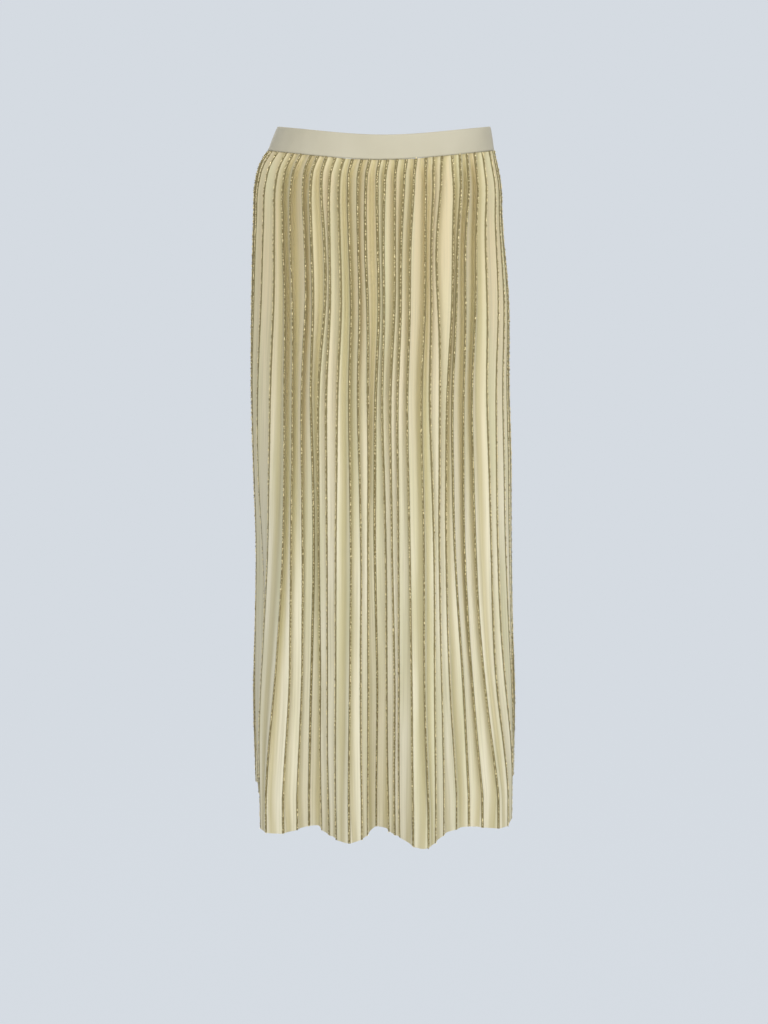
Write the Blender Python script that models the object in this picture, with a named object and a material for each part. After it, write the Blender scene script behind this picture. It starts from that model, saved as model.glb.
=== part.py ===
"""Pleated maxi skirt in fine knit, worn and hollow, on its elastic waistband.

Everything is in millimetres until MM turns it into metres.  +Z is up, the front
faces -Y and the wearer's left is +X.  The origin is the centre of the waist.
A "drop" is a distance down the skirt from the waist, measured at the sides.
The skirt is a wall of one thickness that follows its pleats all the way round:
sections give the body of the skirt, folds give the large waves of the hem, and
pleats give the narrow folds that run from the waistband to the hem.
"""
import math
from collections import namedtuple

import bmesh
import bpy
import numpy as np

MM = 0.001

# Lengths of the garment.
RIM_RISE = 15.0
BAND_HEIGHT = 30.0
BAND_FOOT = BAND_HEIGHT - RIM_RISE
HEM_DROP = 905.0

# The waist sits lower at the front and at the back than over the hips.
FRONT_DIP = 10.0
BACK_DIP = 14.0

# Cloth.
BAND_WALL = 2.6
BAND_BULGE = 0.5
BAND_EDGE_ROUND = 1.2
CLOTH_WALL = 1.2
SEAM_GAP = 0.3

# Body of the skirt: half its width, half its depth, how far its middle lies to
# the side, and how square its section is (2 is an ellipse).
Section = namedtuple("Section", "drop half_width half_depth sway squareness")
SECTIONS = (
    Section(-15, 136, 102, 0, 2.0),
    Section(15, 145, 109, -4, 2.0),
    Section(30, 150, 113, -7, 2.05),
    Section(55, 155, 117, -8, 2.1),
    Section(105, 158, 121, -8, 2.15),
    Section(205, 165, 126, -5, 2.2),
    Section(315, 168, 130, -5, 2.3),
    Section(425, 171, 133, -2, 2.4),
    Section(535, 172, 136, 0, 2.5),
    Section(650, 175, 140, 0, 2.6),
    Section(765, 178, 143, 0, 2.7),
    Section(905, 178, 144, 1, 2.8),
)

# Large waves: degrees round from the front towards +X, half their spread in
# degrees, how far they stand out (or in) at the hem, the drop where they begin
# and how much lower the hem hangs on them.
Fold = namedtuple("Fold", "turn spread reach start hang")
FOLDS = (
    Fold(-51, 15, 31, 250, 0),
    Fold(-38, 10, -24, 300, 0),
    Fold(-18, 13, 26, 150, 1),
    Fold(-3, 9, -32, 150, 0),
    Fold(18.5, 14, 29, 100, 8),
    Fold(42, 14, -15, 200, 2),
    Fold(56, 14, 14, 250, 5),
    Fold(88, 16, -14, 250, 0),
    Fold(112, 17, 16, 200, 0),
    Fold(134, 15, -20, 250, 0),
    Fold(152, 14, 20, 150, 3),
    Fold(172, 15, -20, 200, 0),
    Fold(192, 15, 22, 150, 4),
    Fold(213, 14, -20, 250, 0),
    Fold(231, 13, 20, 200, 2),
    Fold(253, 14, 12, 350, -2),
    Fold(285, 15, -20, 250, 0),
)

# Outer edges of the front pleats: the turn of each one in degrees at six drops,
# and the side it leans to (1 towards +X, -1 towards -X).
PLEAT_DROPS = (19, 129, 291, 500, 717, 857)
Pleat = namedtuple("Pleat", "waist hip thigh knee calf hem lean")
FRONT_PLEATS = (
    Pleat(-76, -77, -79, -85, -88, -89, -1),
    Pleat(-69, -68, -69.5, -74, -70, -66, -1),
    Pleat(-61.5, -59, -59, -58.5, -56, -54.5, -1),
    Pleat(-56.5, -53, -50.5, -49, -49, -51, 1),
    Pleat(-51, -48.5, -46, -46, -45, -46, 1),
    Pleat(-44.5, -40.5, -41, -42, -42, -43, 1),
    Pleat(-40, -37, -36.5, -36.5, -39, -40, 1),
    Pleat(-34.5, -30, -32.5, -33.5, -31.5, -32, -1),
    Pleat(-29, -27.5, -28.5, -29, -27.5, -27.5, -1),
    Pleat(-23.5, -21.5, -22.5, -24, -23, -23.5, -1),
    Pleat(-18, -16, -16.5, -17, -17, -17.5, 1),
    Pleat(-12, -11, -12, -12.5, -12.5, -12, 1),
    Pleat(-7, -7, -7, -9.5, -9.5, -9.5, 1),
    Pleat(-0.5, 0, -2, -6, -4.5, -5, -1),
    Pleat(4.5, 3, 1.5, 2, 2.5, 2.5, -1),
    Pleat(10.5, 9.5, 6, 5, 6, 5.5, -1),
    Pleat(16.5, 13, 10, 8.5, 8.5, 8, -1),
    Pleat(22.5, 18, 15, 14, 14.5, 14.5, -1),
    Pleat(29, 26.5, 22, 20, 19.5, 21, -1),
    Pleat(34, 30, 26.5, 25, 24, 24.5, 1),
    Pleat(39, 33, 32, 28, 28, 29, 1),
    Pleat(45.5, 42, 36.5, 32, 33, 36.5, 1),
    Pleat(50.5, 44.5, 39, 36.5, 41, 44, -1),
    Pleat(55.5, 48.5, 44.5, 42, 46, 49, -1),
    Pleat(61, 55, 49, 47.5, 50.5, 54, -1),
    Pleat(67.5, 61.5, 57.5, 54.5, 54.5, 58.5, 1),
    Pleat(75, 70.5, 64.5, 58, 58.5, 64, 1),
)

# The other pleats are spread round the sides and the back, and these many of
# them on each side still belong to the front panel.
REAR_PLEATS = 33
SIDE_PLEATS_RIGHT = 2
SIDE_PLEATS_LEFT = 1

# Their widths rise and fall by these shares as the count goes on, and they lean
# to one side in runs: towards +X while a slow wave is above its floor.
Wave = namedtuple("Wave", "share pace start")
REAR_WIDTH_WAVES = (
    Wave(0.13, 2.1, 0.4),
    Wave(0.09, 5.3, 0.0),
)
REAR_LEAN_WAVE = Wave(1.0, 0.83, 0.4)
REAR_LEAN_FLOOR = -0.2

# How a pleat stands: its height from inner to outer edge, and how far its inner
# edge is drawn under its outer one (0 leaves the two faces alike).
Stand = namedtuple("Stand", "drop height tuck")
STANDS = (
    Stand(15, 2.6, 0.15),
    Stand(26, 5.0, 0.35),
    Stand(45, 7.6, 0.6),
    Stand(95, 8.2, 0.7),
    Stand(300, 7.8, 0.7),
    Stand(600, 6.6, 0.62),
    Stand(905, 4.6, 0.45),
)
FACE_BELLY = 0.4

# A pleat narrower than this many times its height stands less high, and an inner
# edge goes no further under an outer one than this share of the narrower pleat.
LEAST_WIDTH = 1.3
MOST_UNDER = 0.2

# Rings of the solids.
PANEL_DROPS = (BAND_FOOT + SEAM_GAP, 26, 42, 70, 130, 220, 320, 420, 510, 590, 670, 745, 825, HEM_DROP)
OUTLINE_STEPS = 1440
BAND_STEPS = 96
MITRE_LIMIT = 3.0
BAND_SHARP_TURN = 50.0

# Section through the waistband: distance from the middle of its wall, and drop.
BandPoint = namedtuple("BandPoint", "out drop")
BAND_PROFILE = (
    BandPoint(BAND_WALL / 2, BAND_FOOT),
    BandPoint(BAND_WALL / 2 + BAND_BULGE, BAND_FOOT - BAND_HEIGHT / 3),
    BandPoint(BAND_WALL / 2 + BAND_BULGE, BAND_FOOT - BAND_HEIGHT * 2 / 3),
    BandPoint(BAND_WALL / 2, BAND_EDGE_ROUND - RIM_RISE),
    BandPoint(BAND_WALL / 5, -RIM_RISE),
    BandPoint(-BAND_WALL / 5, -RIM_RISE),
    BandPoint(-BAND_WALL / 2, BAND_EDGE_ROUND - RIM_RISE),
    BandPoint(-BAND_WALL / 2, BAND_FOOT),
)


def clear_scene():
    for item in list(bpy.data.objects):
        bpy.data.objects.remove(item, do_unlink=True)


def column(rows, name):
    """One named column of a table, top to bottom."""
    return [getattr(row, name) for row in rows]


def along(knots, values, at):
    """Smooth value between the rows of a table."""
    knots = np.asarray(knots, float)
    values = np.asarray(values, float)
    slopes = np.gradient(values, knots)
    at = min(max(at, knots[0]), knots[-1])
    row = min(max(int(np.searchsorted(knots, at)) - 1, 0), len(knots) - 2)
    span = knots[row + 1] - knots[row]
    part = (at - knots[row]) / span
    rise = part * part * (3 - 2 * part)
    start_pull = part * (1 - part) ** 2 * span * slopes[row]
    end_pull = part * part * (part - 1) * span * slopes[row + 1]
    return values[row] + rise * (values[row + 1] - values[row]) + start_pull + end_pull


def ease(share):
    """Share from 0 to 1 with a soft start and a soft end."""
    share = np.clip(share, 0.0, 1.0)
    return share * share * (3 - 2 * share)


def closed_normals(points):
    """Outward directions of a closed line that runs from -X past the front."""
    ahead = np.roll(points, -1, 0) - np.roll(points, 1, 0)
    out = np.column_stack((ahead[:, 1], -ahead[:, 0]))
    return out / np.linalg.norm(out, axis=1)[:, None]


def fold_share(turns, fold):
    """How much of a large fold is felt at each turn round the skirt."""
    apart = (turns - fold.turn + 180) % 360 - 180
    return ease(1 - np.abs(apart) / fold.spread)


def fold_growth(fold, drop):
    """How far a large fold has opened at a drop."""
    return float(ease((drop - fold.start) / (HEM_DROP - fold.start)))


def outline(drop):
    """Middle line of the skirt at a drop, from the back round past the front.

    Returns the turn in degrees, the points, their outward directions, the
    distance round to each and the height of each.
    """
    drops = column(SECTIONS, "drop")
    half_width = along(drops, column(SECTIONS, "half_width"), drop)
    half_depth = along(drops, column(SECTIONS, "half_depth"), drop)
    sway = along(drops, column(SECTIONS, "sway"), drop)
    power = along(drops, column(SECTIONS, "squareness"), drop)

    turns = np.arange(OUTLINE_STEPS) * 360.0 / OUTLINE_STEPS - 180.0
    side = np.sin(np.radians(turns))
    front = np.cos(np.radians(turns))
    radius = ((np.abs(side) / half_width) ** power + (np.abs(front) / half_depth) ** power) ** (-1 / power)
    points = np.column_stack((sway + radius * side, -radius * front))

    push = np.zeros(OUTLINE_STEPS)
    hang = np.zeros(OUTLINE_STEPS)
    for fold in FOLDS:
        felt = fold_share(turns, fold) * fold_growth(fold, drop)
        push += fold.reach * felt
        hang += fold.hang * felt
    points = points + closed_normals(points) * push[:, None]

    dip = np.where(front > 0, FRONT_DIP, BACK_DIP) * front * front
    level = min(max((drop - BAND_FOOT) / (HEM_DROP - BAND_FOOT), 0.0), 1.0)
    heights = -drop - dip * (1 - level) - hang

    steps = np.linalg.norm(np.roll(points, -1, 0) - points, axis=1)
    stations = np.concatenate(([0.0], np.cumsum(steps)))
    return turns, points, closed_normals(points), stations, heights


def read_round(stations, values, at):
    """Value of a closed line at distances round it, any number of times round."""
    length = stations[-1]
    looped = np.concatenate((values, values[:1]))
    at = np.mod(at, length)
    if looped.ndim == 1:
        return np.interp(at, stations, looped)
    return np.column_stack([np.interp(at, stations, looped[:, axis]) for axis in range(looped.shape[1])])


def wave_at(wave, count):
    return wave.share * np.sin(wave.pace * count + wave.start)


def rear_shares():
    """Where the pleats of the sides and back lie between the last front ones."""
    counts = np.arange(REAR_PLEATS + 1)
    widths = 1 + sum(wave_at(wave, counts) for wave in REAR_WIDTH_WAVES)
    ends = np.cumsum(widths)
    return ends[:-1] / ends[-1]


def pleat_stations(drop, turns, stations):
    """Distances round to the outer edge of every pleat, in order."""
    front_turns = [along(PLEAT_DROPS, pleat[:len(PLEAT_DROPS)], drop) for pleat in FRONT_PLEATS]
    front = np.interp(front_turns, turns, stations[:-1])
    rest = stations[-1] + front[0] - front[-1]
    return np.concatenate((front, front[-1] + rest * rear_shares()))


def pleat_leans():
    """The side each pleat leans to, in order, in runs of a few at the back."""
    rear_wave = wave_at(REAR_LEAN_WAVE, np.arange(REAR_PLEATS))
    rear = np.where(rear_wave > REAR_LEAN_FLOOR, 1, -1)
    return np.concatenate(([pleat.lean for pleat in FRONT_PLEATS], rear))


def pleated_line(drop):
    """Corners of the pleats at a drop, in threes: outer edge, then the inner
    edge and the middle of the broad face in the order they come, with heights.
    """
    turns, points, outward, stations, heights = outline(drop)
    ridges = pleat_stations(drop, turns, stations)
    following = np.concatenate((ridges[1:], ridges[:1] + stations[-1]))
    leans = pleat_leans()
    height = along(column(STANDS, "drop"), column(STANDS, "height"), drop)
    tuck = along(column(STANDS, "drop"), column(STANDS, "tuck"), drop)
    inner_share = 0.5 - tuck / 2 * (leans + np.roll(leans, -1))
    gaps = following - ridges
    valleys = ridges + inner_share * gaps
    valleys = np.maximum(valleys, ridges - MOST_UNDER * np.minimum(gaps, np.roll(gaps, 1)))
    valleys = np.minimum(valleys, following + MOST_UNDER * np.minimum(gaps, np.roll(gaps, -1)))
    room = np.minimum(1.0, gaps / (LEAST_WIDTH * height))
    valley_depths = height / 2 * room
    ridge_heights = height / 2 * np.minimum(room, np.roll(room, 1))

    ridge_points = read_round(stations, points, ridges)
    ridge_points += read_round(stations, outward, ridges) * ridge_heights[:, None]
    valley_points = read_round(stations, points, valleys)
    valley_points -= read_round(stations, outward, valleys) * valley_depths[:, None]
    next_ridges = np.roll(ridge_points, -1, 0)

    corners = []
    levels = []
    for count in range(len(ridges)):
        broad_last = inner_share[count] < 0.5
        edge = next_ridges[count] if broad_last else ridge_points[count]
        middle = (edge + valley_points[count]) / 2
        middle_station = (valleys[count] + (following[count] if broad_last else ridges[count])) / 2
        middle += read_round(stations, outward, np.array([middle_station]))[0] * FACE_BELLY
        inner = (valley_points[count], valleys[count])
        broad = (middle, middle_station)
        pair = (inner, broad) if broad_last else (broad, inner)
        for place, station in ((ridge_points[count], ridges[count]),) + pair:
            corners.append(place)
            levels.append(read_round(stations, heights, np.array([station]))[0])
    return np.array(corners), np.array(levels), inner_share < 0.5


def wall_sides(corners):
    """Outer and inner line of a wall that follows an open line of corners."""
    runs = corners[1:] - corners[:-1]
    sides = np.column_stack((runs[:, 1], -runs[:, 0]))
    sides /= np.linalg.norm(sides, axis=1)[:, None]
    before = np.vstack((sides[:1], sides))
    after = np.vstack((sides, sides[-1:]))
    both = before + after
    stretch = 1 + np.sum(before * after, axis=1)
    stretch = np.maximum(stretch, 2 / MITRE_LIMIT ** 2)
    step = both / stretch[:, None] * CLOTH_WALL / 2
    return corners + step, corners - step


def panel_line(drop, first_gap, last_gap):
    """Corners of one panel at a drop, from seam to seam.

    A seam lies in the middle of a broad face, in the gap that follows the
    pleat of that number.
    """
    corners, levels, broad_last = pleated_line(drop)
    total = len(broad_last)
    start = 3 * first_gap + (2 if broad_last[first_gap] else 1)
    end = 3 * last_gap + (2 if broad_last[last_gap] else 1)
    if end < start:
        end += 3 * total
    picked = np.arange(start, end + 1) % (3 * total)
    line = corners[picked].copy()
    for end_index, beside in ((0, 1), (-1, -2)):
        inward = line[beside] - line[end_index]
        line[end_index] += inward / np.linalg.norm(inward) * SEAM_GAP / 2
    return line, levels[picked]


def add_object(name, points, faces, material):
    """Object from points in millimetres, with its faces turned outwards."""
    mesh = bpy.data.meshes.new(name)
    builder = bmesh.new()
    corners = [builder.verts.new([value * MM for value in point]) for point in points]
    for face in faces:
        builder.faces.new([corners[index] for index in face])
    bmesh.ops.recalc_face_normals(builder, faces=builder.faces)
    builder.to_mesh(mesh)
    builder.free()
    mesh.materials.append(material)
    item = bpy.data.objects.new(name, mesh)
    bpy.context.scene.collection.objects.link(item)
    return item


def knit_material(name, colour, roughness):
    material = bpy.data.materials.new(name)
    material.use_nodes = True
    shader = material.node_tree.nodes["Principled BSDF"]
    shader.inputs["Base Color"].default_value = (*colour, 1.0)
    shader.inputs["Roughness"].default_value = roughness
    shader.inputs["Metallic"].default_value = 0.0
    return material


def split_faces(first, second, third, fourth):
    """A four-sided patch as two triangles that share its first diagonal."""
    return [(first, second, third), (first, third, fourth)]


def pleated_panel(name, first_gap, last_gap, material):
    """One panel: the same wall at every ring, closed at its seams and edges."""
    points = []
    for drop in PANEL_DROPS:
        line, levels = panel_line(drop, first_gap, last_gap)
        outer, inner = wall_sides(line)
        for side in (outer, inner):
            points.extend((x, y, z) for (x, y), z in zip(side, levels))
    width = len(line)

    def at(ring, side, index):
        return (2 * ring + side) * width + index

    faces = []
    for ring in range(len(PANEL_DROPS) - 1):
        for side in (0, 1):
            for index in range(width - 1):
                faces += split_faces(at(ring, side, index), at(ring + 1, side, index),
                                     at(ring + 1, side, index + 1), at(ring, side, index + 1))
        for index in (0, width - 1):
            faces += split_faces(at(ring, 0, index), at(ring + 1, 0, index),
                                 at(ring + 1, 1, index), at(ring, 1, index))
    for ring in (0, len(PANEL_DROPS) - 1):
        for index in range(width - 1):
            faces += split_faces(at(ring, 0, index), at(ring, 1, index),
                                 at(ring, 1, index + 1), at(ring, 0, index + 1))
    return add_object(name, points, faces, material)


def waistband(material):
    """The elastic band: one closed profile carried round the waist."""
    points = []
    for spot in BAND_PROFILE:
        _, line, outward, _, heights = outline(spot.drop)
        keep = slice(0, OUTLINE_STEPS, OUTLINE_STEPS // BAND_STEPS)
        moved = (line + outward * spot.out)[keep]
        points.extend((x, y, z) for (x, y), z in zip(moved, heights[keep]))
    faces = []
    for spot in range(len(BAND_PROFILE)):
        following = (spot + 1) % len(BAND_PROFILE)
        for step in range(BAND_STEPS):
            ahead = (step + 1) % BAND_STEPS
            faces += split_faces(spot * BAND_STEPS + step, spot * BAND_STEPS + ahead,
                                 following * BAND_STEPS + ahead, following * BAND_STEPS + step)
    item = add_object("waistband", points, faces, material)
    item.data.shade_smooth()
    item.data.set_sharp_from_angle(angle=math.radians(BAND_SHARP_TURN))
    return item


clear_scene()
band_knit = knit_material("band_knit", (0.66, 0.63, 0.47), 0.8)
pleat_knit = knit_material("pleat_knit", (0.68, 0.62, 0.40), 0.75)
right_seam = len(FRONT_PLEATS) + SIDE_PLEATS_RIGHT - 1
left_seam = len(FRONT_PLEATS) + REAR_PLEATS - SIDE_PLEATS_LEFT - 1
waistband(band_knit)
pleated_panel("front_panel", left_seam, right_seam, pleat_knit)
pleated_panel("back_panel", right_seam, left_seam, pleat_knit)
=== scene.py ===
"""Pleated maxi skirt in fine knit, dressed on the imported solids.

Lengths are in millimetres until MM turns them into metres.  +Z is up, the front
faces -Y and the wearer's left is +X.  A "drop" is a distance down the skirt
from the waist, measured at the sides.
"""
import math
from collections import namedtuple

import bmesh
import bpy
import numpy as np
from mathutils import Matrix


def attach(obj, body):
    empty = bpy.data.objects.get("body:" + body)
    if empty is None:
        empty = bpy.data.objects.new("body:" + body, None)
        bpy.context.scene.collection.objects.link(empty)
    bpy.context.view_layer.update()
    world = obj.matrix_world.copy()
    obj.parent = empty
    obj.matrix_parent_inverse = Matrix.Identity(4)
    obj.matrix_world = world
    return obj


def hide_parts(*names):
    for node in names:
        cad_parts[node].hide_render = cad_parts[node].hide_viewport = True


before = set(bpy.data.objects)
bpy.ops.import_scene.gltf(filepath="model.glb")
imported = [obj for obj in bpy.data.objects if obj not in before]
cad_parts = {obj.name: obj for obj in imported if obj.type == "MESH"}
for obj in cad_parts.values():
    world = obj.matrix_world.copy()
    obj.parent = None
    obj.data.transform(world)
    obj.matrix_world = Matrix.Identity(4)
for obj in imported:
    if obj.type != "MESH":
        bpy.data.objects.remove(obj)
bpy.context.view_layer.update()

MM = 0.001

# ---------------------------------------------------------------------------
# Waistband: a doubled strip of fine plain knit round a flat elastic, closed to
# a ring.  Its top is a soft fold, and its two lower edges are linked to the
# pleated cloth, which hangs from under them.

BAND_HEIGHT = 30.0
RIM_RISE = 15.0
BAND_FOOT = BAND_HEIGHT - RIM_RISE
HEM_DROP = 905.0
FRONT_DIP = 10.0
BACK_DIP = 14.0

# Level sections of the body: half width, half depth, how far the middle sways
# towards +X, and how square the outline is (2 is an ellipse).
Section = namedtuple("Section", "drop half_width half_depth sway squareness")
SECTIONS = (
    Section(-15, 136, 102, 0, 2.0),
    Section(15, 145, 109, -4, 2.0),
    Section(30, 150, 113, -7, 2.05),
    Section(55, 155, 117, -8, 2.1),
    Section(105, 158, 121, -8, 2.15),
    Section(205, 165, 126, -5, 2.2),
    Section(315, 168, 130, -5, 2.3),
    Section(425, 171, 133, -2, 2.4),
    Section(535, 172, 136, 0, 2.5),
    Section(650, 175, 140, 0, 2.6),
    Section(765, 178, 143, 0, 2.7),
    Section(905, 178, 144, 1, 2.8),
)

# Large waves of the cloth that grow towards the hem: the turn of each one from
# the front and how far it spreads to each side in degrees, how far it reaches
# out (or in), the drop where it starts, and how much lower its hem hangs.
Fold = namedtuple("Fold", "turn spread reach start hang")
FOLDS = (
    Fold(-51, 15, 31, 250, 0),
    Fold(-38, 10, -24, 300, 0),
    Fold(-18, 13, 26, 150, 1),
    Fold(-3, 9, -32, 150, 0),
    Fold(18.5, 14, 29, 100, 8),
    Fold(42, 14, -15, 200, 2),
    Fold(58, 15, 14, 250, 5),
    Fold(82, 14, 0, 250, -14),
    Fold(88, 16, -14, 250, 0),
    Fold(112, 17, 16, 200, 0),
    Fold(134, 15, -20, 250, 0),
    Fold(152, 14, 20, 150, 3),
    Fold(172, 15, -20, 200, 0),
    Fold(192, 15, 22, 150, 4),
    Fold(213, 14, -20, 250, 0),
    Fold(231, 13, 20, 200, 2),
    Fold(253, 14, 12, 350, -2),
    Fold(285, 15, -20, 250, 0),
)
OUTLINE_STEPS = 1440


def column(rows, name):
    """One named column of a table, top to bottom."""
    return [getattr(row, name) for row in rows]


def along(knots, values, at):
    """Smooth value between the rows of a table."""
    knots = np.asarray(knots, float)
    values = np.asarray(values, float)
    slopes = np.gradient(values, knots)
    at = min(max(at, knots[0]), knots[-1])
    row = min(max(int(np.searchsorted(knots, at)) - 1, 0), len(knots) - 2)
    span = knots[row + 1] - knots[row]
    part = (at - knots[row]) / span
    rise = part * part * (3 - 2 * part)
    start_pull = part * (1 - part) ** 2 * span * slopes[row]
    end_pull = part * part * (part - 1) * span * slopes[row + 1]
    return values[row] + rise * (values[row + 1] - values[row]) + start_pull + end_pull


def ease(share):
    """Share from 0 to 1 with a soft start and a soft end."""
    share = np.clip(share, 0.0, 1.0)
    return share * share * (3 - 2 * share)


def closed_normals(points):
    """Outward directions of a closed line that runs from the back past -X."""
    ahead = np.roll(points, -1, 0) - np.roll(points, 1, 0)
    out = np.column_stack((ahead[:, 1], -ahead[:, 0]))
    return out / np.linalg.norm(out, axis=1)[:, None]


def outline(drop):
    """Middle line of the skirt at a drop, from the back round past the front.

    Returns the turn in degrees, the points, their outward directions, the
    distance round to each and the height of each.
    """
    drops = column(SECTIONS, "drop")
    half_width = along(drops, column(SECTIONS, "half_width"), drop)
    half_depth = along(drops, column(SECTIONS, "half_depth"), drop)
    sway = along(drops, column(SECTIONS, "sway"), drop)
    power = along(drops, column(SECTIONS, "squareness"), drop)

    turns = np.arange(OUTLINE_STEPS) * 360.0 / OUTLINE_STEPS - 180.0
    side = np.sin(np.radians(turns))
    front = np.cos(np.radians(turns))
    radius = ((np.abs(side) / half_width) ** power + (np.abs(front) / half_depth) ** power) ** (-1 / power)
    points = np.column_stack((sway + radius * side, -radius * front))

    push = np.zeros(OUTLINE_STEPS)
    hang = np.zeros(OUTLINE_STEPS)
    for fold in FOLDS:
        apart = (turns - fold.turn + 180) % 360 - 180
        grown = ease((drop - fold.start) / (HEM_DROP - fold.start))
        felt = ease(1 - np.abs(apart) / fold.spread) * grown
        push += fold.reach * felt
        hang += fold.hang * felt
    points = points + closed_normals(points) * push[:, None]

    dip = np.where(front > 0, FRONT_DIP, BACK_DIP) * front * front
    level = min(max((drop - BAND_FOOT) / (HEM_DROP - BAND_FOOT), 0.0), 1.0)
    heights = -drop - dip * (1 - level) - hang

    steps = np.linalg.norm(np.roll(points, -1, 0) - points, axis=1)
    stations = np.concatenate(([0.0], np.cumsum(steps)))
    return turns, points, closed_normals(points), stations, heights


BAND_WALL = 2.6
BAND_BULGE = 0.5
BAND_STEPS = 480
BAND_FACE_ROWS = 14
BAND_EDGE_ROWS = 7
BAND_FOOT_LIFT = 0.2

# The linked edge stands out as a low lip just over the band's foot.
LIP_HEIGHT = 0.35
LIP_SHARE = 0.06
LIP_SPREAD = 0.05

Ripple = namedtuple("Ripple", "height waves slant start")
BAND_RIPPLES = (
    Ripple(0.1, 23, 0.11, 0.0),
    Ripple(0.06, 41, -0.07, 1.3),
)


def rippled(ripples, around, drop):
    """Sum of a few slanting waves, by the way round and the drop."""
    total = 0.0
    for wave in ripples:
        total = total + wave.height * np.sin(wave.waves * around + wave.slant * drop + wave.start)
    return total


def band_profile():
    """Section through the band: out from the middle of its wall, and drop."""
    half = BAND_WALL / 2
    face_height = BAND_HEIGHT - half - BAND_FOOT_LIFT
    rows = []
    for step in range(BAND_FACE_ROWS + 1):
        share = step / BAND_FACE_ROWS
        bulge = BAND_BULGE * 4 * share * (1 - share)
        lip = LIP_HEIGHT * math.exp(-((share - LIP_SHARE) / LIP_SPREAD) ** 2)
        rows.append((half + bulge + lip, BAND_FOOT - BAND_FOOT_LIFT - share * face_height))
    for step in range(1, BAND_EDGE_ROWS):
        turn = math.pi * step / BAND_EDGE_ROWS
        rows.append((half * math.cos(turn), half - RIM_RISE - half * math.sin(turn)))
    for step in range(BAND_FACE_ROWS + 1):
        rows.append((-half, half - RIM_RISE + step / BAND_FACE_ROWS * face_height))
    return rows


band_rows = band_profile()
band_points = []
for out, drop in band_rows:
    band_turns, line, outward, stations, heights = outline(drop)
    keep = slice(0, OUTLINE_STEPS, OUTLINE_STEPS // BAND_STEPS)
    around = np.radians(band_turns[keep])
    moved = line[keep] + outward[keep] * (out + rippled(BAND_RIPPLES, around, drop))[:, None]
    band_points.extend(zip(moved[:, 0] * MM, moved[:, 1] * MM, heights[keep] * MM))
band_faces = []
for row in range(len(band_rows)):
    following = (row + 1) % len(band_rows)
    for step in range(BAND_STEPS):
        ahead = (step + 1) % BAND_STEPS
        band_faces.append((row * BAND_STEPS + step, row * BAND_STEPS + ahead,
                           following * BAND_STEPS + ahead, following * BAND_STEPS + step))
band_mesh = bpy.data.meshes.new("waistband_knit")
band_mesh.from_pydata(band_points, [], band_faces)
band_mesh.validate()
band_mesh.shade_smooth()


def add_piece(name, mesh, *materials):
    """A finished piece at the origin, with its faces turned outwards."""
    builder = bmesh.new()
    builder.from_mesh(mesh)
    bmesh.ops.recalc_face_normals(builder, faces=builder.faces)
    builder.to_mesh(mesh)
    builder.free()
    for material in materials:
        mesh.materials.append(material)
    piece = bpy.data.objects.new(name, mesh)
    bpy.context.scene.collection.objects.link(piece)
    return piece


def write_uv(mesh, across, down):
    """UV map in metres of cloth, from one value across and one down per point."""
    layer = mesh.uv_layers.new(name="cloth")
    corner_points = np.empty(len(mesh.loops), dtype=np.int32)
    mesh.loops.foreach_get("vertex_index", corner_points)
    pairs = np.column_stack((across[corner_points], down[corner_points]))
    layer.data.foreach_set("uv", pairs.astype(np.float32).ravel())


band_across = np.tile(stations[:-1][keep], len(band_rows)) * MM
band_down = np.repeat([drop for out, drop in band_rows], BAND_STEPS) * MM
write_uv(band_mesh, band_across, band_down)


# The legs of a stitch: how steep they run, how far they rise and fall, how round
# they are, and how strongly they show as bump.
STITCH_SLOPE = 1.6
STITCH_SWING = 0.3
STITCH_ROUND = 0.6
STITCH_BUMP = 0.36


def math_node(tree, kind, *values):
    """The result of one sum on sockets and plain numbers."""
    node = tree.nodes.new("ShaderNodeMath")
    node.operation = kind
    for socket, value in zip(node.inputs, values):
        if isinstance(value, (int, float)):
            socket.default_value = value
        else:
            tree.links.new(value, socket)
    return node.outputs["Value"]


def knit_nodes(material, wale, course, depth):
    """Plain knit: columns of V-shaped stitches as bump, on the cloth's own UV."""
    tree = material.node_tree
    new = tree.nodes.new
    link = tree.links.new
    cloth = new("ShaderNodeUVMap")
    cloth.uv_map = "cloth"
    parts = new("ShaderNodeSeparateXYZ")
    link(cloth.outputs["UV"], parts.inputs["Vector"])
    across = math_node(tree, "MULTIPLY", parts.outputs["X"], 2 * math.pi / wale)
    leg = math_node(tree, "ABSOLUTE", math_node(tree, "SINE", across))
    shear = math_node(tree, "MULTIPLY", leg, STITCH_SLOPE)
    down = math_node(tree, "MULTIPLY", parts.outputs["Y"], 2 * math.pi / course)
    row_wave = math_node(tree, "SINE", math_node(tree, "ADD", down, shear))
    stitch = math_node(tree, "MULTIPLY_ADD", row_wave, STITCH_SWING, 0.5)
    height = math_node(tree, "MULTIPLY", math_node(tree, "POWER", leg, STITCH_ROUND), stitch)
    bump = new("ShaderNodeBump")
    bump.inputs["Strength"].default_value = STITCH_BUMP
    bump.inputs["Distance"].default_value = depth
    link(height, bump.inputs["Height"])
    shader = tree.nodes["Principled BSDF"]
    link(bump.outputs["Normal"], shader.inputs["Normal"])


def colour_between(tree, factor, low, high):
    """A colour that goes from low to high with a factor."""
    mix = tree.nodes.new("ShaderNodeMix")
    mix.data_type = "RGBA"
    colours = [socket for socket in mix.inputs if socket.type == "RGBA"]
    for socket, value in zip(colours, (low, high)):
        if isinstance(value, tuple):
            socket.default_value = (*value, 1.0)
        else:
            tree.links.new(value, socket)
    tree.links.new(factor, mix.inputs["Factor"])
    return [socket for socket in mix.outputs if socket.type == "RGBA"][0]


def object_place(tree):
    """Where a point lies on the piece, in metres."""
    return tree.nodes.new("ShaderNodeTexCoord").outputs["Object"]


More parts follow.
